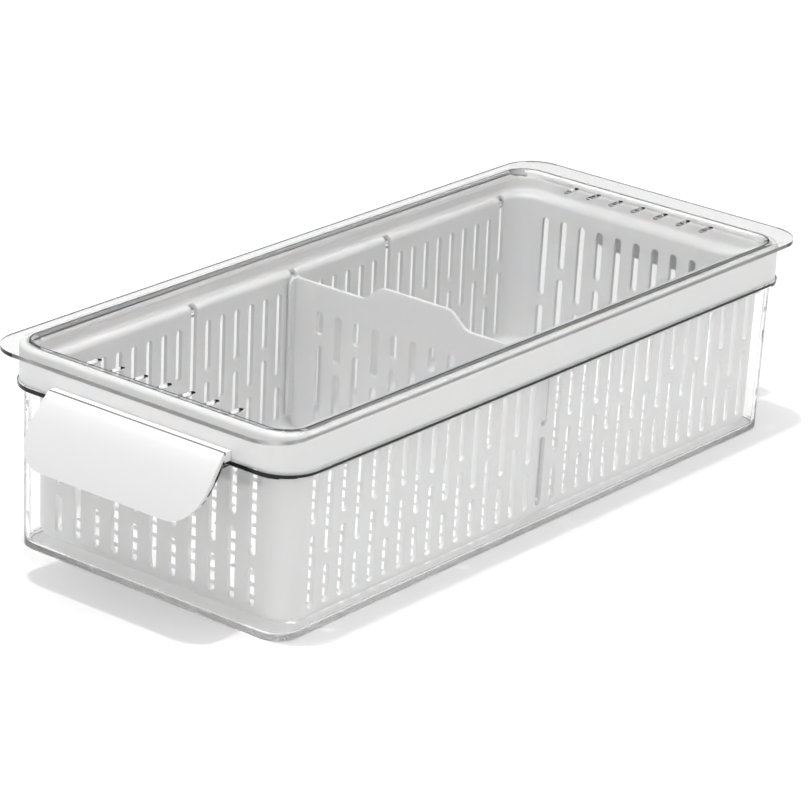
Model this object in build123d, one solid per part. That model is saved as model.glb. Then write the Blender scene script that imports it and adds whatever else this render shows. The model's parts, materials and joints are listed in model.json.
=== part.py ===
"""Fridge bin for fruit and vegetables: a clear tub with two white pull grips, a white
strainer basket that hangs from its rim, a lift-out divider and a clear vented lid.

Millimetres. X is the width, Y the length, Z up. The origin is the middle of the tub's
footprint on the shelf. The front grip faces -Y and the rear grip +Y.
"""
from build123d import *
import os
from math import asin, cos, floor, hypot, sin, sqrt

# The basket's skirt: the white band between the tub's rim and the lid. The rim of
# the tub and the edge of the lid are measured out from it.
SKIRT_LENGTH = 385.0
SKIRT_WIDTH = 170.4
SKIRT_CORNER = 17.6
SKIRT_HEIGHT = 17.0
SKIRT_WALL = 1.7

# Clear tub
TUB_HEIGHT = 80.6
TUB_WALL = 2.0
TUB_FLOOR = 2.2
TUB_EDGE_RADIUS = 0.9
TUB_INNER_RADIUS = 2.6
TUB_CORNER_BOTTOM = 12.0
TUB_DRAFT_SIDE = 2.4
TUB_DRAFT_END = 1.0
RIM_LEDGE = 0.8
RIM_FLANGE = 3.2
RIM_THICKNESS = 2.6

# Strainer basket
BASKET_WALL = 2.0
BASKET_FLOOR = 2.0
BASKET_FLOOR_GAP = 2.0
BASKET_CORNER_TOP = 12.0
BASKET_CORNER_BOTTOM = 11.0
BASKET_DRAFT = 1.1
BASKET_INNER_RADIUS = 4.0
CROWN_WIDTH = 3.4
CROWN_OUTER_RADIUS = 2.2
CROWN_INNER_RADIUS = 0.9
LEDGE_DEPTH = 10.9
LEDGE_SIDE = 5.9
LEDGE_END = 8.0
LEDGE_ROLL = 3.2
LEDGE_HOLLOW = 1.5

# Drain slots in the basket's walls: each column has two slots with a bar between,
# and neighbouring columns carry the bar at two heights.
SLOT_WIDTH = 4.2
SIDE_PITCH = 10.42
END_PITCH = 11.56
SLOT_TOP = 77.0
SLOT_BOTTOM = 10.5
BAR_HIGH = 51.0
BAR_LOW = 34.5
BAR_HEIGHT = 5.5
CHANNEL_STEP = 7
FLOOR_SLOT_EDGE = 1.0
FLOOR_BAR_NEAR = 12.0
FLOOR_BAR_FAR = 25.0

# Divider
DIVIDER_THICKNESS = 2.0
DIVIDER_TOP = 84.0
DIVIDER_CLEARANCE = 0.6
DIVIDER_FOOT_RADIUS = 5.5
TAB_RISE = 8.2
TAB_TOP_WIDTH = 42.0
TAB_FOOT_WIDTH = 62.0
TAB_ROUND = 6.0
END_FLANGE_WIDTH = 10.0
END_FLANGE_THICKNESS = 1.8
END_FLANGE_FOOT = 13.0
TONGUE_CLEARANCE = 0.4
TONGUE_REACH = 2.0
DIVIDER_SLOT_TOP = 70.5
DIVIDER_SLOT_BOTTOM = 12.0
DIVIDER_BAR_HIGH = 58.5
DIVIDER_BAR_LOW = 46.0
END_FLANGE_ROUND = 3.5

# Lid
LID_END_OVERHANG = 10.5
LID_SIDE_OVERHANG = 2.2
LID_CORNER = 18.0
LID_THICKNESS = 1.9
RECESS_DEPTH = 2.5
RECESS_CLEARANCE = 0.8
RECESS_SLOPE_SIDE = 5.8
RECESS_SLOPE_END = 1.4
RECESS_CORNER = 11.0
VENT_LENGTH = 11.0
VENT_WIDTH = 3.0
VENT_PITCH = 14.0
VENTS_PER_END = 7
VENT_INSET = 7.0

# Pull grips: a clear lip moulded on each end of the tub, and a white cover over it
GRIP_TOP_WIDTH = 104.0
GRIP_WIDTH = 106.0
GRIP_WIDEST_BELOW = 10.5
GRIP_CORNER = 15.5
GRIP_RISE = 4.8
GRIP_LEDGE = 5.0
GRIP_REACH = 26.2
GRIP_DROP = 29.6
GRIP_ARC = 160.0
GRIP_COVER = 2.0
GRIP_LIP = 2.0
GRIP_GAP = 0.1
GRIP_LIP_INSET = 0.6
GRIP_BACK_GAP = 0.3
GRIP_HEEL = 4.0
GRIP_SEAM_BACK = 0.2
GRIP_SEAM_WIDTH = 0.8
GRIP_SEAM_DEPTH = 1.3
CLIP_WIDTH = 8.0
CLIP_THICKNESS = 1.6
CLIP_BARB = 0.5
CLIP_SPACING = 60.0
CLIP_CLEARANCE = 0.2
CLIP_LENGTH = 1.6

# Places worked out from the sizes above
skirt_x = SKIRT_WIDTH / 2
skirt_y = SKIRT_LENGTH / 2
rim_x = skirt_x + RIM_LEDGE
rim_y = skirt_y + RIM_LEDGE
rim_corner = SKIRT_CORNER + RIM_LEDGE
tub_top_x = rim_x - RIM_FLANGE
tub_top_y = rim_y - RIM_FLANGE
tub_top_corner = rim_corner - RIM_FLANGE
tub_bottom_x = tub_top_x - TUB_DRAFT_SIDE
tub_bottom_y = tub_top_y - TUB_DRAFT_END

crown_z = TUB_HEIGHT + SKIRT_HEIGHT
crown_x = skirt_x - CROWN_WIDTH
crown_y = skirt_y - CROWN_WIDTH
crown_corner = SKIRT_CORNER - CROWN_WIDTH
ledge_z = crown_z - LEDGE_DEPTH
inner_x = crown_x - LEDGE_SIDE
inner_y = crown_y - LEDGE_END
floor_under = TUB_FLOOR + BASKET_FLOOR_GAP
floor_top = floor_under + BASKET_FLOOR
side_columns = floor((inner_y - BASKET_CORNER_TOP - SLOT_WIDTH / 2) / SIDE_PITCH)
end_columns = floor((inner_x - BASKET_CORNER_TOP - SLOT_WIDTH / 2) / END_PITCH)
channels = sorted({-side_columns, -CHANNEL_STEP, 0, CHANNEL_STEP, side_columns})

lid_x = skirt_x + LID_SIDE_OVERHANG
lid_y = skirt_y + LID_END_OVERHANG
lid_top = crown_z + LID_THICKNESS


def slab(half_x, half_y, corner, bottom, top):
    """A straight-sided block with rounded vertical corners."""
    outline = Plane.XY.offset(bottom) * RectangleRounded(2 * half_x, 2 * half_y, corner)
    return extrude(outline, top - bottom)


def drafted(low, high):
    """A block that tapers between two outlines, each given as half width, half length,
    corner radius and height."""
    sections = []
    for half_x, half_y, corner, height in (low, high):
        sections.append(Plane.XY.offset(height) * RectangleRounded(2 * half_x, 2 * half_y, corner))
    return loft(sections, ruled=True)


def edges_at(solid, height, near=0.01):
    """Every edge that lies flat at one height."""
    flat = [e for e in solid.edges() if abs(e.bounding_box().min.Z - height) < near]
    return ShapeList(e for e in flat if abs(e.bounding_box().max.Z - height) < near)


def inside(edges, half_x):
    """The loop of edges that keeps within a given half width."""
    return ShapeList(e for e in edges if max(abs(e.bounding_box().min.X), abs(e.bounding_box().max.X)) < half_x)


def outside(edges, half_x, half_y):
    """The edges that reach at least as far out as one outline's sides or ends."""
    kept = []
    for edge in edges:
        middle = edge @ 0.5
        if abs(middle.X) > half_x or abs(middle.Y) > half_y:
            kept.append(edge)
    return ShapeList(kept)


# Pull grips. The face is an arc from the grip's ledge out and down to its lower edge.
grip_back = skirt_y + GRIP_BACK_GAP
grip_top = TUB_HEIGHT + GRIP_RISE
arc_start = (skirt_y + GRIP_LEDGE, grip_top)
arc_end = (skirt_y + GRIP_REACH, grip_top - GRIP_DROP)
chord = hypot(arc_end[0] - arc_start[0], arc_end[1] - arc_start[1])
along = ((arc_end[0] - arc_start[0]) / chord, (arc_end[1] - arc_start[1]) / chord)
sagitta_side = sqrt(GRIP_ARC ** 2 - (chord / 2) ** 2)
arc_centre = (
    (arc_start[0] + arc_end[0]) / 2 + along[1] * sagitta_side,
    (arc_start[1] + arc_end[1]) / 2 - along[0] * sagitta_side,
)


def grip_curve(depth, share):
    """A point on the grip's face, a depth below its outer surface, from the ledge (0)
    to the lower edge (1)."""
    radius = GRIP_ARC - depth
    first = asin((grip_top - depth - arc_centre[1]) / radius)
    last = asin((arc_end[1] - arc_centre[1]) / GRIP_ARC)
    angle = first + (last - first) * share
    return (arc_centre[0] + radius * cos(angle), arc_centre[1] + radius * sin(angle))


def grip_layer(outer, inner, back, side_inset):
    """One layer of the front grip, between two depths below its outer surface."""
    start_out, mid_out, end_out = (grip_curve(outer, s) for s in (0.0, 0.5, 1.0))
    start_in, mid_in, end_in = (grip_curve(inner, s) for s in (0.0, 0.5, 1.0))
    outline = [
        Line((back, grip_top - inner), (back, grip_top - outer)),
        Line((back, grip_top - outer), start_out),
        ThreePointArc(start_out, mid_out, end_out),
        Line(end_out, end_in),
        ThreePointArc(end_in, mid_in, start_in),
        Line(start_in, (back, grip_top - inner)),
    ]
    # Drawn as distance out from the tub's middle and height, it faces -Y
    section_plane = Plane(origin=(0, 0, 0), x_dir=(0, -1, 0), z_dir=(-1, 0, 0))
    section = make_face(outline)
    layer = extrude(section_plane * section, GRIP_WIDTH, both=True)
    half_top = GRIP_TOP_WIDTH / 2 - side_inset
    half = GRIP_WIDTH / 2 - side_inset
    widest = grip_top - GRIP_WIDEST_BELOW
    low = arc_end[1]
    front_view = Polyline(
        (-half_top, grip_top), (-half, widest), (-half, low),
        (half, low), (half, widest), (half_top, grip_top), close=True,
    )
    front_face = make_face(front_view)
    lower = [v for v in front_face.vertices() if v.Y < widest - 1.0]
    front_face = fillet(lower, GRIP_CORNER)
    mask = extrude(Plane(origin=(0, 0, 0), x_dir=(1, 0, 0), z_dir=(0, -1, 0)) * front_face, 2 * skirt_y)
    return layer & mask


def clip_blocks(width, thickness, bottom, top):
    """A block at each clip's place, under the middle of the front grip's heel."""
    middle = -(grip_back + GRIP_HEEL / 2)
    blocks = []
    for side in (-1, 1):
        place = Pos(side * CLIP_SPACING / 2, middle, (bottom + top) / 2)
        blocks.append(place * Box(width, thickness, top - bottom))
    return blocks


def across_block(half_width, near, far, bottom, top):
    """A block across the front end, from one distance out to another."""
    place = Pos(0, -(near + far) / 2, (bottom + top) / 2)
    return place * Box(2 * half_width, far - near, top - bottom)


heel_front = grip_back + GRIP_HEEL
shelf_under = TUB_HEIGHT - RIM_THICKNESS
shelf_out = heel_front + GRIP_COVER
barb_top = shelf_under - CLIP_CLEARANCE


def front_cover():
    """The curved cover, the seam along its top, its heel and the snap clips under the heel."""
    cover = grip_layer(0.0, GRIP_COVER, grip_back, 0.0)
    soft = cover.edges().filter_by(GeomType.LINE).filter_by(Axis.X).sort_by(Axis.Z)[-2:]
    cover = fillet(soft, GRIP_COVER * 0.25)
    seam_far = skirt_y + GRIP_LEDGE - GRIP_SEAM_BACK
    cover -= across_block(GRIP_WIDTH, seam_far - GRIP_SEAM_WIDTH, seam_far, grip_top - GRIP_SEAM_DEPTH, grip_top + 1.0)
    cover += across_block(GRIP_TOP_WIDTH / 2, grip_back, heel_front, TUB_HEIGHT, grip_top - GRIP_COVER / 2)
    clips = clip_blocks(CLIP_WIDTH, CLIP_THICKNESS, barb_top - CLIP_LENGTH, TUB_HEIGHT + GRIP_GAP)
    clips += clip_blocks(CLIP_WIDTH + 2 * CLIP_BARB, CLIP_THICKNESS, barb_top - CLIP_LENGTH, barb_top)
    for clip in clips:
        cover += clip
    return cover


def front_lip():
    """The shelf that carries the heel, and the curved lip that backs the cover."""
    lip = grip_layer(GRIP_COVER + GRIP_GAP, GRIP_COVER + GRIP_LIP, grip_back, GRIP_LIP_INSET)
    half_width = GRIP_TOP_WIDTH / 2 - GRIP_LIP_INSET
    lip -= across_block(GRIP_WIDTH, tub_top_y, heel_front + GRIP_GAP, TUB_HEIGHT, grip_top)
    lip += across_block(half_width, tub_top_y - TUB_WALL / 2, shelf_out, shelf_under, TUB_HEIGHT)
    windows = clip_blocks(CLIP_WIDTH + 2 * CLIP_CLEARANCE, CLIP_THICKNESS + 2 * CLIP_CLEARANCE,
                          shelf_under - GRIP_LIP, TUB_HEIGHT + GRIP_LIP)
    for window in windows:
        lip -= window
    return lip


def outer_bin():
    tub = drafted(
        (tub_bottom_x, tub_bottom_y, TUB_CORNER_BOTTOM, 0.0),
        (tub_top_x, tub_top_y, tub_top_corner, TUB_HEIGHT),
    )
    tub = fillet(edges_at(tub, 0.0), TUB_EDGE_RADIUS)
    tub += slab(rim_x, rim_y, rim_corner, TUB_HEIGHT - RIM_THICKNESS, TUB_HEIGHT)
    tub = fillet(outside(edges_at(tub, TUB_HEIGHT - RIM_THICKNESS), tub_top_x + 1.0, tub_top_y + 1.0),
                 RIM_LEDGE)
    hollow = drafted(
        (tub_bottom_x - TUB_WALL, tub_bottom_y - TUB_WALL, TUB_CORNER_BOTTOM - TUB_WALL, TUB_FLOOR),
        (tub_top_x - TUB_WALL, tub_top_y - TUB_WALL, tub_top_corner - TUB_WALL, TUB_HEIGHT),
    )
    hollow = fillet(edges_at(hollow, TUB_FLOOR), TUB_INNER_RADIUS)
    tub -= hollow
    lip = front_lip()
    return tub + lip + mirror(lip, Plane.XZ)


def basket_shell():
    outer_low = (
        inner_x - BASKET_DRAFT + BASKET_WALL, inner_y - BASKET_DRAFT + BASKET_WALL,
        BASKET_CORNER_BOTTOM + BASKET_WALL, floor_under,
    )
    outer_high = (
        inner_x + BASKET_WALL, inner_y + BASKET_WALL, BASKET_CORNER_TOP + BASKET_WALL,
        ledge_z - BASKET_WALL,
    )
    body = drafted(outer_low, outer_high)
    body = fillet(edges_at(body, floor_under), BASKET_INNER_RADIUS + BASKET_FLOOR)
    rim = slab(skirt_x, skirt_y, SKIRT_CORNER, TUB_HEIGHT, crown_z)
    rim = fillet(edges_at(rim, crown_z), CROWN_OUTER_RADIUS)
    rim -= slab(skirt_x - SKIRT_WALL, skirt_y - SKIRT_WALL, SKIRT_CORNER - SKIRT_WALL,
                TUB_HEIGHT, ledge_z - BASKET_WALL)
    well = slab(crown_x, crown_y, crown_corner, ledge_z, crown_z)
    well = fillet(edges_at(well, ledge_z), LEDGE_HOLLOW)
    rim -= well
    rim = fillet(inside(edges_at(rim, crown_z), crown_x + 0.01), CROWN_INNER_RADIUS)
    shell = body + rim
    cavity = drafted(
        (inner_x - BASKET_DRAFT, inner_y - BASKET_DRAFT, BASKET_CORNER_BOTTOM, floor_top),
        (inner_x, inner_y, BASKET_CORNER_TOP, ledge_z),
    )
    cavity = fillet(edges_at(cavity, floor_top), BASKET_INNER_RADIUS)
    shell -= cavity
    return fillet(inside(edges_at(shell, ledge_z), inner_x + 0.01), LEDGE_ROLL)


def slot_heights(column, top, bottom, high, low, even_is_short):
    """The two slots of one column, as bottom and top heights, lower slot first."""
    short = (column % 2 == 0) == even_is_short
    upper_end = high if short else low
    return (bottom, upper_end - BAR_HEIGHT), (upper_end, top)


def upright_slot(width, bottom, top, depth):
    """A round-ended cutter, upright, centred on the Y axis, cutting along Y."""
    outline = SlotOverall(top - bottom, width, rotation=90)
    upright = Plane(origin=(0, 0, (top + bottom) / 2), x_dir=(1, 0, 0), z_dir=(0, -1, 0)) * outline
    return extrude(upright, depth / 2, both=True)


def wall_slots():
    cutters = []
    depth = BASKET_WALL + 4 * BASKET_DRAFT
    side_place = inner_x + BASKET_WALL / 2
    end_place = inner_y + BASKET_WALL / 2
    heights = (SLOT_TOP, SLOT_BOTTOM, BAR_HIGH, BAR_LOW, True)
    for column in range(-side_columns, side_columns + 1):
        for bottom, top in slot_heights(column, *heights):
            cutter = upright_slot(SLOT_WIDTH, bottom, top, depth)
            for side in (-1, 1):
                cutters.append(Pos(side * side_place, column * SIDE_PITCH, 0) * Rot(0, 0, 90) * cutter)
    for column in range(-end_columns, end_columns + 1):
        for bottom, top in slot_heights(column, *heights):
            cutter = upright_slot(SLOT_WIDTH, bottom, top, depth)
            for end in (-1, 1):
                cutters.append(Pos(column * END_PITCH, end * end_place, 0) * cutter)
    return cutters


def channel_slots():
    """Open tops for the columns that take the divider's tongues."""
    cutters = []
    reach = BASKET_WALL + 2 * BASKET_DRAFT
    bottom = SLOT_TOP - SLOT_WIDTH
    for column in channels:
        for side in (-1, 1):
            place = Pos(side * (inner_x + reach / 2 - BASKET_DRAFT), column * SIDE_PITCH, (bottom + ledge_z) / 2)
            cutters.append(place * Box(reach, SLOT_WIDTH, ledge_z - bottom + 0.2))
    return cutters


def floor_slots():
    """Three slots across the floor at each side column, with the two bars between them
    nearer together on every other row."""
    cutters = []
    deep = 3 * BASKET_FLOOR
    reach = inner_x - BASKET_DRAFT - BASKET_INNER_RADIUS - FLOOR_SLOT_EDGE
    for column in range(-side_columns, side_columns + 1):
        bar = FLOOR_BAR_NEAR if column % 2 == 0 else FLOOR_BAR_FAR
        inner_end = bar - BAR_HEIGHT / 2
        outer_start = bar + BAR_HEIGHT / 2
        spans = ((-reach, -outer_start), (-inner_end, inner_end), (outer_start, reach))
        for start, end in spans:
            place = Pos((start + end) / 2, column * SIDE_PITCH, floor_under - BASKET_FLOOR)
            cutters.append(extrude(place * SlotOverall(end - start, SLOT_WIDTH), deep))
    return cutters


def strainer_basket():
    shell = basket_shell()
    shell = shell.cut(*wall_slots())
    shell = shell.cut(*channel_slots())
    return shell.cut(*floor_slots())


def divider():
    face_x = inner_x - DIVIDER_CLEARANCE
    foot_x = inner_x - BASKET_DRAFT - DIVIDER_CLEARANCE
    tab_top = DIVIDER_TOP + TAB_RISE
    outline = Polyline(
        (-foot_x, floor_top), (foot_x, floor_top), (face_x, DIVIDER_TOP),
        (TAB_FOOT_WIDTH / 2, DIVIDER_TOP), (TAB_TOP_WIDTH / 2, tab_top),
        (-TAB_TOP_WIDTH / 2, tab_top), (-TAB_FOOT_WIDTH / 2, DIVIDER_TOP),
        (-face_x, DIVIDER_TOP), close=True,
    )
    face = make_face(outline)
    tab_points = [v for v in face.vertices() if abs(v.X) < face_x - 1.0 and v.Y > DIVIDER_TOP - 1.0]
    face = fillet(tab_points, TAB_ROUND)
    feet = [v for v in face.vertices() if v.Y < floor_top + 1.0]
    face = fillet(feet, DIVIDER_FOOT_RADIUS)
    upright = Plane(origin=(0, 0, 0), x_dir=(1, 0, 0), z_dir=(0, -1, 0))
    panel = extrude(upright * face, DIVIDER_THICKNESS / 2, both=True)
    columns = floor((foot_x - END_FLANGE_THICKNESS - DIVIDER_FOOT_RADIUS - SLOT_WIDTH) / END_PITCH)
    heights = (DIVIDER_SLOT_TOP, DIVIDER_SLOT_BOTTOM, DIVIDER_BAR_HIGH, DIVIDER_BAR_LOW, False)
    cutters = []
    for column in range(-columns, columns + 1):
        for bottom, top in slot_heights(column, *heights):
            cutter = upright_slot(SLOT_WIDTH, bottom, top, 2 * DIVIDER_THICKNESS)
            cutters.append(Pos(column * END_PITCH, 0, 0) * cutter)
    panel = panel.cut(*cutters)
    # End flanges lie along the basket's walls, and a tongue on each stands in a channel
    lean = (face_x - foot_x) / (DIVIDER_TOP - floor_top)
    foot_at_flange = foot_x + lean * (END_FLANGE_FOOT - floor_top)
    side_view = make_face(Polyline(
        (foot_at_flange - END_FLANGE_THICKNESS, END_FLANGE_FOOT), (foot_at_flange, END_FLANGE_FOOT),
        (face_x, DIVIDER_TOP), (face_x - END_FLANGE_THICKNESS, DIVIDER_TOP), close=True,
    ))
    flange = extrude(upright * side_view, END_FLANGE_WIDTH / 2, both=True)
    flange_tips = [e for e in flange.edges().filter_by(Axis.X) if e.center().Z > DIVIDER_TOP - 1.0]
    flange = fillet(flange_tips, END_FLANGE_ROUND)
    tongue_bottom = BAR_HIGH + SLOT_WIDTH / 2 + TONGUE_CLEARANCE
    tongue_top = DIVIDER_TOP - SLOT_WIDTH / 4
    tongue = Pos(face_x + TONGUE_REACH / 2 - 0.5, 0, (tongue_bottom + tongue_top) / 2) * Box(
        TONGUE_REACH + 1.0, SLOT_WIDTH - 2 * TONGUE_CLEARANCE, tongue_top - tongue_bottom)
    end = flange + tongue
    return panel + end + mirror(end, Plane.YZ)


def lid():
    plate = slab(lid_x, lid_y, LID_CORNER, crown_z, lid_top)
    plug_x = crown_x - RECESS_CLEARANCE
    plug_y = crown_y - RECESS_CLEARANCE
    plug_under = crown_z - RECESS_DEPTH
    wall = LID_THICKNESS * 0.6
    plug = drafted(
        (plug_x - RECESS_SLOPE_SIDE, plug_y - RECESS_SLOPE_END, RECESS_CORNER, plug_under),
        (plug_x, plug_y, RECESS_CORNER + 2.0, crown_z),
    )
    recess = drafted(
        (plug_x - RECESS_SLOPE_SIDE - wall, plug_y - RECESS_SLOPE_END - wall, RECESS_CORNER - wall,
         plug_under + LID_THICKNESS),
        (plug_x - wall, plug_y - wall, RECESS_CORNER + 2.0 - wall, lid_top),
    )
    body = plate + plug - recess
    vent_y = plug_y - RECESS_SLOPE_END - VENT_INSET
    cutters = []
    for vent in range(VENTS_PER_END):
        across = (vent - (VENTS_PER_END - 1) / 2) * VENT_PITCH
        for end in (-1, 1):
            place = Pos(across, end * vent_y, plug_under - 1.0) * Rot(0, 0, 90)
            cutters.append(extrude(place * SlotOverall(VENT_LENGTH, VENT_WIDTH), LID_THICKNESS + 2.0))
    return body.cut(*cutters)


cover = front_cover()
pieces = {
    "outer_bin": outer_bin(),
    "front_grip_cover": cover,
    "rear_grip_cover": mirror(cover, Plane.XZ),
    "strainer_basket": strainer_basket(),
    "divider": divider(),
    "lid": lid(),
}

os.makedirs("parts", exist_ok=True)
for name, shape in pieces.items():
    export_step(shape, f"parts/{name}.step")
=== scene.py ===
"""Looks for a clear refrigerator produce bin: its moulded plastics, softened edges,
studio floor, lights and camera. Metres, +Z up, front grip towards -Y.
"""

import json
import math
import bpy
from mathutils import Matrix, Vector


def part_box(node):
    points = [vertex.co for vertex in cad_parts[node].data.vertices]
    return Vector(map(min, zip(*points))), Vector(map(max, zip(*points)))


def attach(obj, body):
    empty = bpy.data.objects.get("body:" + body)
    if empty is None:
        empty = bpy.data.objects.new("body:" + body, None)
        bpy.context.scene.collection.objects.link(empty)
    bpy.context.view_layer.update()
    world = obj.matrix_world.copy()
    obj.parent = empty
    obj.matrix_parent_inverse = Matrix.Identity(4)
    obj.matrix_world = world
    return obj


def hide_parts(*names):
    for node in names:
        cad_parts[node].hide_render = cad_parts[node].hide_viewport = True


bl_info = {
    "name": "Produce Bin Looks",
    "version": (1, 0, 0),
    "blender": (4, 5, 0),
    "location": "View3D > Sidebar > Produce Bin",
    "description": "Finishes a clear produce bin with basket, divider, grips and vented lid",
    "category": "Object",
}

import bmesh
import bpy
from bpy.props import FloatProperty, FloatVectorProperty, PointerProperty, StringProperty
from mathutils import Matrix, Vector

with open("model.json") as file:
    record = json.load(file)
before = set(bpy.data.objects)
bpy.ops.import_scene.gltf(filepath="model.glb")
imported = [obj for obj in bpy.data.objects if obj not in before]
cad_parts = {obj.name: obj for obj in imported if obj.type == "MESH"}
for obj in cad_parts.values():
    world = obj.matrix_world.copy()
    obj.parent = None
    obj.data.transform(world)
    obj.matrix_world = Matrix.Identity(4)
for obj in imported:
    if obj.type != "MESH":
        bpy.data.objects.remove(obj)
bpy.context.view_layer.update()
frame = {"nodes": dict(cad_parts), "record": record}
MM = 0.001
SHARP_ANGLE = math.radians(32)
SAN_IOR = 1.57
POLISHED = 0.02
# A painted dark line inside clear plastic lies under a polished skin that mirrors only a little
LINE_ROUGHNESS = 0.12
LINE_SPECULAR = 0.25
TUB_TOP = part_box("front_grip_cover")[1][2] - 4.8 * MM
SKIRT_CORNER = 17.6 * MM
LID_CORNER = 18.0 * MM
# The lid's panel starts this far in from its sides and from its ends
ROLL_FROM_SIDE = 5.0 * MM
ROLL_FROM_END = 12.0 * MM


def linear(hex_colour):
    """An sRGB hex colour as linear red, green, blue and 1."""
    channels = []
    for place in (1, 3, 5):
        value = int(hex_colour[place:place + 2], 16) / 255
        channels.append(value / 12.92 if value <= 0.04045 else ((value + 0.055) / 1.055) ** 2.4)
    return (*channels, 1.0)


def add_node(tree, kind, settings=None, inputs=None):
    """Adds one shader node, sets its properties, and fills or links its sockets, which are
    given by name, or by place where names repeat."""
    node = tree.nodes.new(kind)
    for name, value in (settings or {}).items():
        setattr(node, name, value)
    for name, value in (inputs or {}).items():
        if isinstance(value, bpy.types.NodeSocket):
            tree.links.new(value, node.inputs[name])
        else:
            node.inputs[name].default_value = value
    return node


def new_material(name):
    """An empty node material with its output."""
    material = bpy.data.materials.new(name)
    material.use_nodes = True
    tree = material.node_tree
    tree.nodes.clear()
    return material, tree, add_node(tree, "ShaderNodeOutputMaterial")


def plain_material(name, inputs):
    """A material of one opaque finish."""
    material, tree, output = new_material(name)
    finish = add_node(tree, "ShaderNodeBsdfPrincipled", None, inputs)
    tree.links.new(finish.outputs["BSDF"], output.inputs["Surface"])
    return material


def add_slot(piece, material):
    """Gives a piece one more material, and returns the number that its faces use for it."""
    piece.data.materials.append(material)
    return len(piece.data.materials) - 1


def turning(tree, start, end, most):
    """A factor that grows to most as a face turns away from view, between two amounts."""
    turned = add_node(tree, "ShaderNodeLayerWeight", None, {"Blend": 0.5})
    return add_node(tree, "ShaderNodeMapRange", {"interpolation_type": "SMOOTHSTEP"}, {
        "Value": turned.outputs["Facing"], "From Min": start, "From Max": end,
        "To Min": 0.0, "To Max": most,
    }).outputs["Result"]


def formula(tree, values, steps):
    """Works out a formula by one Math node for each step. A step is its own name, its
    operation and two values, each a number or the name of a value."""
    for name, operation, first, second in steps:
        node = add_node(tree, "ShaderNodeMath", {"operation": operation},
                        {0: values.get(first, first), 1: values.get(second, second)})
        values[name] = node.outputs["Value"]


def past_corner(middle, reach, radius, slack):
    """Whether a point lies outside the rounded corners of a plan that reaches to reach."""
    over_x = max(abs(middle.x) - (reach[0] - radius), 0)
    over_y = max(abs(middle.y) - (reach[1] - radius), 0)
    return math.hypot(over_x, over_y) > radius - slack


def on_panel_roll(middle, lid_high):
    """Whether a point lies inside the outline of the raised edge round the lid's panel."""
    return (abs(middle.x) < lid_high[0] - ROLL_FROM_SIDE
            and abs(middle.y) < lid_high[1] - ROLL_FROM_END)


def clear_san(name, roughness, painted_grey_depth=0.0):
    """Styrene acrylonitrile, injection moulded in a polished tool: water-clear, hard and
    glossy. painted_grey_depth mixes in a painted grey shade where a wall turns away, standing in
    for its whole depth being looked through."""
    colours = bpy.context.scene.produce_bin_colours
    material, tree, output = new_material(name)
    place = add_node(tree, "ShaderNodeTexCoord").outputs["Object"]
    # Flow of the melt leaves a slow ripple about 35 mm long, under a hundredth of a mm high
    ripple = add_node(tree, "ShaderNodeTexNoise", {"noise_dimensions": "3D"},
                      {"Vector": place, "Scale": 28.0, "Detail": 1.0})
    bump = add_node(tree, "ShaderNodeBump", None,
                    {"Strength": 0.005, "Distance": 0.001, "Height": ripple.outputs["Fac"]})
    plastic = add_node(tree, "ShaderNodeBsdfPrincipled", None, {
        "Base Color": linear(colours.clear_tint), "Roughness": roughness, "IOR": SAN_IOR,
        "Transmission Weight": 1.0, "Normal": bump.outputs["Normal"],
    })
    body = plastic.outputs["BSDF"]
    if painted_grey_depth:
        # Painted grey shade where the wall turns away from view
        edge = add_node(tree, "ShaderNodeBsdfPrincipled", None, {
            "Base Color": linear(colours.painted_shade_grey), "Roughness": LINE_ROUGHNESS,
            "IOR": SAN_IOR, "Specular IOR Level": LINE_SPECULAR,
        })
        both = add_node(tree, "ShaderNodeMixShader", None, {
            "Fac": turning(tree, 0.45, 0.85, painted_grey_depth), 1: body, 2: edge.outputs["BSDF"],
        })
        body = both.outputs["Shader"]
    # Lamps shine through the thin walls, so what is inside and beneath is lit
    passed = add_node(tree, "ShaderNodeBsdfTransparent", None,
                      {"Color": linear(colours.clear_shade)})
    path = add_node(tree, "ShaderNodeLightPath")
    mixed = add_node(tree, "ShaderNodeMixShader", None, {
        "Fac": path.outputs["Is Shadow Ray"], 1: body, 2: passed.outputs["BSDF"],
    })
    tree.links.new(mixed.outputs["Shader"], output.inputs["Surface"])
    return material


def white_plastic(name, colour, roughness, glow, grain_mm, grain_depth):
    """Opaque white moulding with a fine spark-eroded grain. Polypropylene is satin and lets a
    little light in, ABS is harder and glossier."""
    material, tree, output = new_material(name)
    place = add_node(tree, "ShaderNodeTexCoord").outputs["Object"]
    grain = add_node(tree, "ShaderNodeTexNoise", {"noise_dimensions": "3D"},
                     {"Vector": place, "Scale": 1.0 / (grain_mm * MM), "Detail": 2.0})
    flow = add_node(tree, "ShaderNodeTexNoise", {"noise_dimensions": "3D"},
                    {"Vector": place, "Scale": 18.0, "Detail": 2.0})
    # The satin varies a little where the melt met the tool at different speeds
    sheen = add_node(tree, "ShaderNodeMapRange", None, {
        "Value": flow.outputs["Fac"], "From Min": 0.0, "From Max": 1.0,
        "To Min": roughness - 0.02, "To Max": roughness + 0.02,
    })
    bump = add_node(tree, "ShaderNodeBump", None, {
        "Strength": 0.25, "Distance": grain_depth * MM, "Height": grain.outputs["Fac"],
    })
    plastic = add_node(tree, "ShaderNodeBsdfPrincipled", None, {
        "Base Color": colour, "Roughness": sheen.outputs["Result"], "IOR": 1.49,
        "Subsurface Weight": glow, "Subsurface Radius": (1.0, 0.95, 0.9),
        "Subsurface Scale": 2.0 * MM, "Normal": bump.outputs["Normal"],
    })
    tree.links.new(plastic.outputs["BSDF"], output.inputs["Surface"])
    return material


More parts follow.
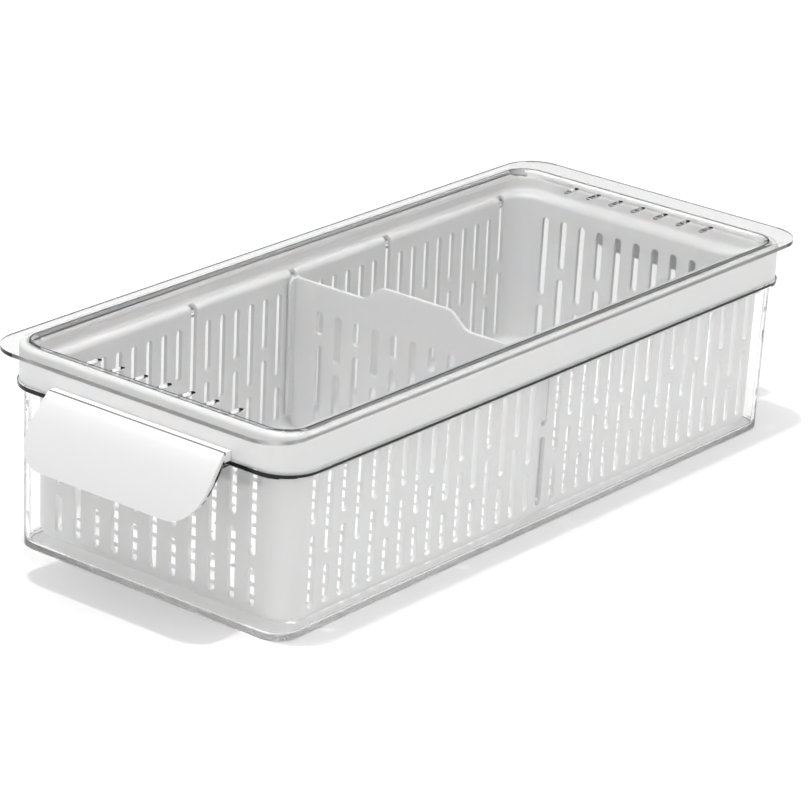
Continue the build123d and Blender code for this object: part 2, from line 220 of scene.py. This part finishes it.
def softened(node_name, piece_name, radius_mm, material, segments=2, rounder=None):
    """A copy of a node with its sharp edges rounded, as the mould's own edges are, that
    stands for the node and rides on its body. rounder gives edges a larger radius first:
    a test of an edge's middle, and a radius."""
    shape = bmesh.new()
    shape.from_mesh(frame["nodes"][node_name].data)
    bmesh.ops.remove_doubles(shape, verts=shape.verts, dist=0.005 * MM)
    bmesh.ops.dissolve_limit(shape, angle_limit=math.radians(0.6), verts=shape.verts,
                             edges=shape.edges, use_dissolve_boundaries=False, delimit=set())
    for chosen, radius, steps in ([(*rounder, 5)] if rounder else []) + [
            (lambda middle: True, radius_mm, segments)]:
        sharp = [edge for edge in shape.edges
                 if edge.is_manifold and edge.calc_face_angle(0.0) > SHARP_ANGLE
                 and chosen((edge.verts[0].co + edge.verts[1].co) / 2)]
        bmesh.ops.bevel(shape, geom=sharp, offset=radius * MM, offset_type="OFFSET",
                        segments=steps, profile=0.5, affect="EDGES", clamp_overlap=True,
                        material=-1)
    for face in shape.faces:
        face.smooth = True
    for edge in shape.edges:
        edge.smooth = not edge.is_manifold or edge.calc_face_angle(0.0) < SHARP_ANGLE
    mesh = bpy.data.meshes.new(piece_name)
    shape.to_mesh(mesh)
    shape.free()
    mesh.materials.append(material)
    piece = bpy.data.objects.new(piece_name, mesh)
    bpy.context.scene.collection.objects.link(piece)
    weighted = piece.modifiers.new("flat faces stay flat", "WEIGHTED_NORMAL")
    weighted.keep_sharp = True
    weighted.weight = 60
    body = next(name for name, nodes in frame["record"]["behaviour"]["bodies"].items()
                if node_name in nodes)
    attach(piece, body)
    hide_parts(node_name)
    return piece


class ProduceBinColours(bpy.types.PropertyGroup):
    clear_tint: StringProperty(
        name="Clear tint", description="Colour of light through the tub and lid, sRGB hex",
        default="#FCFCFC")
    clear_shade: StringProperty(
        name="Clear shade", description="Share of lamp light that a clear wall passes, sRGB hex",
        default="#F8F8F8")
    painted_dark_reflection: StringProperty(
        name="Painted rim line", description="Painted dark reflection in the tub's rim, vent ends and lid edge, sRGB hex", default="#0E0F0F")
    painted_roll_line: StringProperty(
        name="Painted roll line", description="Painted dark line round the lid's panel, sRGB hex", default="#4C4C4C")
    basket_white: StringProperty(
        name="Basket white", description="Basket and divider, sRGB hex", default="#F2F2F2")
    grip_white: StringProperty(
        name="Grip white", description="Grip covers, sRGB hex", default="#F4F4F4")
    painted_shade_grey: StringProperty(
        name="Painted shade grey", description="Painted shade in each grip's slot and on turned corners, sRGB hex",
        default="#5A5A5A")
    floor_white: StringProperty(
        name="Floor", description="Studio floor, sRGB hex", default="#F2F2F2")


class ProduceBinStage(bpy.types.PropertyGroup):
    azimuth: FloatProperty(
        name="Camera azimuth", description="Degrees round from the front", default=37.69)
    elevation: FloatProperty(
        name="Camera elevation", description="Degrees up", default=21.19)
    roll: FloatProperty(
        name="Camera roll", description="Degrees of tilt about the view", default=3.06)
    lens: FloatProperty(
        name="Lens", description="Focal length in mm on a 36 mm sensor", default=174.58)
    camera_place: FloatVectorProperty(
        name="Camera place", description="Where the camera stands", subtype="TRANSLATION",
        unit="LENGTH", size=3, precision=4, default=(1.07149, -1.391547, 0.719983))
    floor_size: FloatProperty(
        name="Floor size", description="Side of the studio floor", unit="LENGTH", default=16.0)
    ceiling: FloatProperty(
        name="Mirrored ceiling", description="Brightness that gloss mirrors overhead", default=0.9)
    horizon: FloatProperty(
        name="Mirrored horizon", description="Brightness that gloss mirrors low down", default=0.03)
    air_high: FloatProperty(
        name="Air overhead", description="Brightness of the air from above", default=0.9)
    air_low: FloatProperty(
        name="Air low down", description="Brightness of the air from the sides", default=0.43)
    inside_light: FloatProperty(
        name="Light inside", description="Times as much light added behind clear walls",
        default=1.2)
    inside_slope: FloatProperty(
        name="Inside slope", description="How much less of it comes from above", default=1.6)
    floor_lift: FloatProperty(
        name="Floor lift", description="White added to the floor where it is seen", default=0.25)
    floor_gather: FloatProperty(
        name="Floor gather", description="Times as much lift through clear walls", default=1.8)
    key_power: FloatProperty(
        name="Key light", description="Power of the overhead lamp in watts", default=12.0)


class PRODUCEBIN_OT_clear_mouldings(bpy.types.Operator):
    """Clear plastic on the tub and the lid"""
    bl_idname = "producebin.clear_mouldings"
    bl_label = "Clear Mouldings"

    def painted_dark_rim(self, tub, dark):
        """A painted dark reflection along the tub's rim, in place of the view sent down inside the
        rim's own wall:
        a black line, broader across the ends than along the sides."""
        line = add_slot(tub, dark)
        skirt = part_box("strainer_basket")[1]
        grip_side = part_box("front_grip_cover")[1][0]
        across_end, in_corner, along_side = (TUB_TOP - drop * MM for drop in (2.1, 1.7, 1.4))
        shape = bmesh.new()
        shape.from_mesh(tub.data)

        def on_rim(face):
            middle = face.calc_center_median()
            return TUB_TOP - 3.0 * MM < middle.z < TUB_TOP + 0.1 * MM and (
                abs(middle.x) > skirt[0] - 0.1 * MM or abs(middle.y) > skirt[1] - 0.1 * MM
                or past_corner(middle, skirt, SKIRT_CORNER, 0.1 * MM))

        for cut in (across_end, in_corner, along_side):
            band = [face for face in shape.faces if on_rim(face)]
            geometry = list({*band, *(edge for face in band for edge in face.edges),
                             *(vert for face in band for vert in face.verts)})
            bmesh.ops.bisect_plane(shape, geom=geometry, dist=0.001 * MM,
                                   plane_co=(0, 0, cut), plane_no=(0, 0, 1))
        for face in filter(on_rim, shape.faces):
            middle = face.calc_center_median()
            # The lip that carries a grip is left clear
            if abs(middle.x) < grip_side and abs(middle.y) > skirt[1] + 1.2 * MM:
                continue
            turned = (abs(middle.y) - (skirt[1] - SKIRT_CORNER)) / SKIRT_CORNER
            start = across_end if turned > 0.85 else in_corner if turned > 0.5 else along_side
            if middle.z > start:
                face.material_index = line
        shape.to_mesh(tub.data)
        shape.free()

    def base_and_painted_grey_corners(self, tub):
        """The tub stands on a finely etched base, which hides the scratches of a shelf. Its upright
        corners get a painted grey shade as they turn away."""
        base = add_slot(tub, clear_san("clear SAN, etched base", 0.3))
        corner = add_slot(tub, clear_san("clear SAN, turned corner, painted grey shade", POLISHED, 0.7))
        for face in tub.data.polygons:
            if face.center.z < 1.4 * MM and face.normal.z < 0.1:
                face.material_index = base
            elif (face.material_index == 0 and abs(face.normal.x) > 0.1
                    and abs(face.normal.y) > 0.1 and face.center.z < TUB_TOP - 4.0 * MM):
                face.material_index = corner

    def painted_dark_edge_material(self, name, start, end):
        """Satin clear plastic mixed with a painted dark reflection as it turns away, from start to
        end.
        """
        colours = bpy.context.scene.produce_bin_colours
        material, tree, output = new_material(name)
        edge = add_node(tree, "ShaderNodeBsdfPrincipled", None, {
            "Base Color": linear(colours.clear_tint), "Roughness": 0.4, "IOR": SAN_IOR,
            "Transmission Weight": 1.0,
        })
        # Painted dark reflection, in place of the view going down inside the edge
        shadow = add_node(tree, "ShaderNodeBsdfPrincipled", None, {
            "Base Color": linear(colours.painted_dark_reflection), "Roughness": LINE_ROUGHNESS,
            "IOR": SAN_IOR, "Specular IOR Level": LINE_SPECULAR,
        })
        mixed = add_node(tree, "ShaderNodeMixShader", None, {
            "Fac": turning(tree, start, end, 1.0),
            1: edge.outputs["BSDF"], 2: shadow.outputs["BSDF"],
        })
        tree.links.new(mixed.outputs["Shader"], output.inputs["Surface"])
        return material

    def painted_vent_ends(self, lid, dark, low, high):
        """Painted dark reflection on the far end of each vent, in place of the view going down
        inside the sheet.
        """
        end = add_slot(lid, dark)
        for face in lid.data.polygons:
            middle = face.center
            from_end = high[1] - abs(middle.y)
            if (abs(face.normal.z) < 0.5 and abs(face.normal.y) > 0.55
                    and 17.0 * MM < from_end < 30.0 * MM
                    and abs(middle.x) < 50.0 * MM and middle.z < low[2] + 3.0 * MM):
                face.material_index = end

    def satin_and_painted_dark_edge(self, lid, edge, tab_edge, high):
        """The lid's outer edge was polished less than its faces, so it shows soft and grey.
        Where it turns away it gets a painted dark reflection, sooner round the corners of the
        lifting tabs."""
        for face in lid.data.polygons:
            if past_corner(face.center, high, LID_CORNER, 0.6 * MM):
                on_tab = abs(face.normal.y) > 0.75 * abs(face.normal.x) > 0.04
                face.material_index = tab_edge if on_tab else edge

    def painted_roll_line(self, lid, line, high):
        """A thin painted dark line runs round the panel, in place of the view bent aside where the
        raised edge turns down to the panel."""
        shape = bmesh.new()
        shape.from_mesh(lid.data)
        crest = [face for face in shape.faces
                 if face.normal.z > 0.995 and face.calc_center_median().z > high[2] - 0.02 * MM]
        strip = bmesh.ops.inset_region(shape, faces=crest, thickness=0.8 * MM,
                                       use_boundary=True, use_even_offset=True)["faces"]
        for face in strip:
            if on_panel_roll(face.calc_center_median(), high):
                face.material_index = line
        shape.to_mesh(lid.data)
        shape.free()

    def execute(self, context):
        colours = context.scene.produce_bin_colours
        clear = clear_san("clear SAN, polished mould", POLISHED)
        # Painted dark reflection for the rim and the far ends of the vents
        dark = plain_material("clear SAN, painted dark reflection", {
            "Base Color": linear(colours.painted_dark_reflection), "Roughness": LINE_ROUGHNESS,
            "IOR": SAN_IOR, "Specular IOR Level": LINE_SPECULAR,
        })
        # Painted dark line round the lid's panel
        line = plain_material("clear SAN, painted dark line round the panel", {
            "Base Color": linear(colours.painted_roll_line), "Roughness": LINE_ROUGHNESS,
            "IOR": SAN_IOR,
        })
        tub = softened("outer_bin", "clear_tub", 0.6, clear, 3)
        self.painted_dark_rim(tub, dark)
        self.base_and_painted_grey_corners(tub)
        low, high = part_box("lid")

        # The raised edge round the lid's panel is a soft roll
        def on_roll(middle):
            return middle.z > high[2] - 0.1 * MM and on_panel_roll(middle, high)

        lid = softened("lid", "clear_lid", 0.7, clear, 3, (on_roll, 1.3))
        edge = add_slot(lid, self.painted_dark_edge_material("clear SAN, satin lid edge, painted dark where turned", 0.42, 0.6))
        self.painted_vent_ends(lid, dark, low, high)
        line_slot = add_slot(lid, line)
        tab_edge = add_slot(
            lid, self.painted_dark_edge_material("clear SAN, satin tab edge, painted dark where turned", 0.275, 0.34))
        self.satin_and_painted_dark_edge(lid, edge, tab_edge, high)
        self.painted_roll_line(lid, line_slot, high)
        return {"FINISHED"}


class PRODUCEBIN_OT_basket(bpy.types.Operator):
    """Satin white polypropylene on the strainer basket and the divider"""
    bl_idname = "producebin.basket"
    bl_label = "Basket and Divider"

    def execute(self, context):
        colours = context.scene.produce_bin_colours
        white = white_plastic("white polypropylene, satin mould", linear(colours.basket_white),
                              0.36, 0.8, 0.9, 0.02)
        softened("strainer_basket", "slotted_basket", 0.35, white)
        softened("divider", "slotted_divider", 0.4, white)
        return {"FINISHED"}


class PRODUCEBIN_OT_grips(bpy.types.Operator):
    """Smooth white ABS on the two grip covers"""
    bl_idname = "producebin.grips"
    bl_label = "Grip Covers"

    def execute(self, context):
        colours = context.scene.produce_bin_colours
        white = white_plastic("white ABS, fine mould", linear(colours.grip_white),
                              0.28, 0.05, 0.6, 0.01)
        # Painted shade for the narrow seam slot
        unlit = plain_material("white ABS, painted shade in the seam", {
            "Base Color": linear(colours.painted_shade_grey), "Roughness": 0.6, "IOR": 1.52,
        })
        for node_name, piece_name in (("front_grip_cover", "front_grip"),
                                      ("rear_grip_cover", "rear_grip")):
            grip = softened(node_name, piece_name, 0.3, white)
            seam = add_slot(grip, unlit)
            low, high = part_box(node_name)
            back = min(abs(low[1]), abs(high[1]))
            # The seam between ledge and face is a narrow slot that light barely enters, so its
            # faces get a painted shade
            for face in grip.data.polygons:
                middle = face.center
                across = abs(middle.y) - back
                if (3.42 * MM < across < 4.78 * MM
                        and high[2] - 1.6 * MM < middle.z < high[2] - 0.02 * MM):
                    face.material_index = seam
        return {"FINISHED"}


class PRODUCEBIN_OT_stage(bpy.types.Operator):
    """Studio floor, soft lights and the photograph's camera"""
    bl_idname = "producebin.stage"
    bl_label = "Stage"

    def floor(self, context):
        settings = context.scene.produce_bin_stage
        mesh = bpy.data.meshes.new("studio_floor")
        shape = bmesh.new()
        bmesh.ops.create_grid(shape, x_segments=1, y_segments=1, size=settings.floor_size / 2,
                              matrix=Matrix.Translation((0, 0, -0.0003)))
        shape.to_mesh(mesh)
        shape.free()
        floor = bpy.data.objects.new("studio_floor", mesh)
        context.scene.collection.objects.link(floor)
        material, tree, output = new_material("studio floor, matt paint")
        colour = linear(context.scene.produce_bin_colours.floor_white)
        paint = add_node(tree, "ShaderNodeBsdfDiffuse", None, {"Color": colour})
        # The white of the backdrop is added only where it is looked at, and more of it, as painted
        # light, where it shows through the tub, whose walls gather light on the floor under it
        values = dict(add_node(tree, "ShaderNodeLightPath").outputs.items())
        formula(tree, values, (
            ("gathered", "MULTIPLY", "Is Transmission Ray", settings.floor_gather),
            ("looked at", "MAXIMUM", "Is Camera Ray", "Is Glossy Ray"),
            ("share", "MAXIMUM", "looked at", "gathered"),
            ("lift", "MULTIPLY", "share", settings.floor_lift),
        ))
        lift = add_node(tree, "ShaderNodeEmission", None,
                        {"Color": (1, 1, 1, 1), "Strength": values["lift"]})
        both = add_node(tree, "ShaderNodeAddShader", None,
                        {0: paint.outputs["BSDF"], 1: lift.outputs["Emission"]})
        tree.links.new(both.outputs["Shader"], output.inputs["Surface"])
        mesh.materials.append(material)

    def world(self, context):
        """Even air for matt surfaces. Gloss mirrors a bright ceiling over a dim studio. What is
        looked at straight, or straight through a clear wall, is a white backdrop."""
        settings = context.scene.produce_bin_stage
        world = bpy.data.worlds.new("studio air")
        context.scene.world = world
        world.use_nodes = True
        tree = world.node_tree
        tree.nodes.clear()
        output = add_node(tree, "ShaderNodeOutputWorld")
        direction = add_node(tree, "ShaderNodeTexCoord").outputs["Generated"]
        values = dict(add_node(tree, "ShaderNodeLightPath").outputs.items())
        for name, socket in add_node(tree, "ShaderNodeSeparateXYZ", None,
                                     {"Vector": direction}).outputs.items():
            values[name] = socket
        mirrored = add_node(tree, "ShaderNodeMapRange", {"interpolation_type": "SMOOTHSTEP"}, {
            "Value": values["Z"], "From Min": 0.2, "From Max": 0.75,
            "To Min": settings.horizon, "To Max": settings.ceiling,
        }).outputs["Result"]
        # Matt surfaces are lit from above, and a little more from the right than the front
        formula(tree, values, (
            ("to the right", "MULTIPLY", "X", 0.25),
            ("slant", "ADD", "Z", "to the right"),
        ))
        values["air"] = add_node(tree, "ShaderNodeMapRange", None, {
            "Value": values["slant"], "From Min": 0.0, "From Max": 1.0,
            "To Min": settings.air_low, "To Max": settings.air_high,
        }).outputs["Result"]
        formula(tree, values, (
            ("bent", "GREATER_THAN", "Glossy Depth", 0.5),
            ("lighting", "GREATER_THAN", "Diffuse Depth", 0.5),
            ("looking", "SUBTRACT", 1.0, "lighting"),
            ("passed", "MULTIPLY", "Is Transmission Ray", "looking"),
            ("turned back", "SUBTRACT", 1.0, "Is Transmission Ray"),
            ("mirror", "MULTIPLY", "Is Glossy Ray", "turned back"),
            ("passed bent", "MULTIPLY", "passed", "bent"),
            ("gloss", "MAXIMUM", "mirror", "passed bent"),
            ("straight", "SUBTRACT", 1.0, "bent"),
            ("passed straight", "MULTIPLY", "passed", "straight"),
            ("seen", "MAXIMUM", "Is Camera Ray", "passed straight"),
            # White walls inside the clear ones pass light on between them, most of it from
            # the sides, so what lies flat stays below white
            ("passed on", "MULTIPLY", "Is Transmission Ray", "lighting"),
            ("upwards", "MULTIPLY", "Z", settings.inside_slope),
            ("sideways", "SUBTRACT", 1.0, "upwards"),
            ("share", "MULTIPLY", "sideways", settings.inside_light),
            ("added", "MULTIPLY", "passed on", "share"),
            ("gathered", "ADD", "added", 1.0),
            ("inside", "MULTIPLY", "air", "gathered"),
        ))
        strength = add_node(tree, "ShaderNodeMix", {"data_type": "FLOAT"}, {
            "Factor": values["gloss"], "A": values["inside"], "B": mirrored,
        }).outputs["Result"]
        studio = add_node(tree, "ShaderNodeBackground", None,
                          {"Color": (1, 1, 1, 1), "Strength": strength})
        backdrop = add_node(tree, "ShaderNodeBackground", None,
                            {"Color": (1, 1, 1, 1), "Strength": 1.0})
        mixed = add_node(tree, "ShaderNodeMixShader", None, {
            "Fac": values["seen"],
            1: studio.outputs["Background"], 2: backdrop.outputs["Background"],
        })
        tree.links.new(mixed.outputs["Shader"], output.inputs["Surface"])

    def lamp(self, context, name, place, aim, size, power):
        data = bpy.data.lights.new(name, "AREA")
        data.shape = "RECTANGLE"
        data.size, data.size_y = size
        data.energy = power
        lamp = bpy.data.objects.new(name, data)
        context.scene.collection.objects.link(lamp)
        lamp.location = place
        lamp.rotation_euler = (Vector(aim) - Vector(place)).to_track_quat("-Z", "Y").to_euler()

    def camera(self, context):
        settings = context.scene.produce_bin_stage
        around = math.radians(settings.azimuth)
        up_angle = math.radians(settings.elevation)
        roll = math.radians(settings.roll)
        back = Vector((math.sin(around) * math.cos(up_angle),
                       -math.cos(around) * math.cos(up_angle), math.sin(up_angle)))
        level = Vector((math.cos(around), math.sin(around), 0))
        upright = back.cross(level)
        right = level * math.cos(roll) + upright * math.sin(roll)
        up = back.cross(right)
        data = bpy.data.cameras.new("photograph camera")
        data.sensor_width = 36.0
        data.lens = settings.lens
        data.clip_end = 100.0
        camera = bpy.data.objects.new("photograph camera", data)
        context.scene.collection.objects.link(camera)
        turn = Matrix((right, up, back)).transposed().to_4x4()
        camera.matrix_world = Matrix.Translation(settings.camera_place) @ turn
        context.scene.camera = camera

    def execute(self, context):
        self.floor(context)
        self.world(context)
        self.lamp(context, "overhead key", (-0.06, -0.33, 2.0), (0, 0, 0), (0.07, 0.07),
                  context.scene.produce_bin_stage.key_power)
        self.camera(context)
        context.scene.view_settings.view_transform = "Standard"
        # Light that is caught in a clear edge bounces along it many times
        for kind in ("max_bounces", "glossy_bounces", "transmission_bounces",
                     "transparent_max_bounces"):
            setattr(context.scene.cycles, kind, 64)
        return {"FINISHED"}


class PRODUCEBIN_PT_sidebar(bpy.types.Panel):
    bl_label = "Produce Bin"
    bl_idname = "PRODUCEBIN_PT_sidebar"
    bl_space_type = "VIEW_3D"
    bl_region_type = "UI"
    bl_category = "Produce Bin"

    def draw(self, context):
        for group in (context.scene.produce_bin_colours, context.scene.produce_bin_stage):
            for name in group.__annotations__:
                self.layout.prop(group, name)
        for operator in OPERATORS:
            self.layout.operator(operator.bl_idname)


OPERATORS = (
    PRODUCEBIN_OT_clear_mouldings,
    PRODUCEBIN_OT_basket,
    PRODUCEBIN_OT_grips,
    PRODUCEBIN_OT_stage,
)
GROUPS = (ProduceBinColours, ProduceBinStage)
CLASSES = (*GROUPS, *OPERATORS, PRODUCEBIN_PT_sidebar)


def register():
    for kind in CLASSES:
        bpy.utils.register_class(kind)
    bpy.types.Scene.produce_bin_colours = PointerProperty(type=ProduceBinColours)
    bpy.types.Scene.produce_bin_stage = PointerProperty(type=ProduceBinStage)


def unregister():
    del bpy.types.Scene.produce_bin_stage
    del bpy.types.Scene.produce_bin_colours
    for kind in reversed(CLASSES):
        bpy.utils.unregister_class(kind)


def main():
    register()
    bpy.ops.producebin.clear_mouldings()
    bpy.ops.producebin.basket()
    bpy.ops.producebin.grips()
    bpy.ops.producebin.stage()


if __name__ == "__main__":
    main()
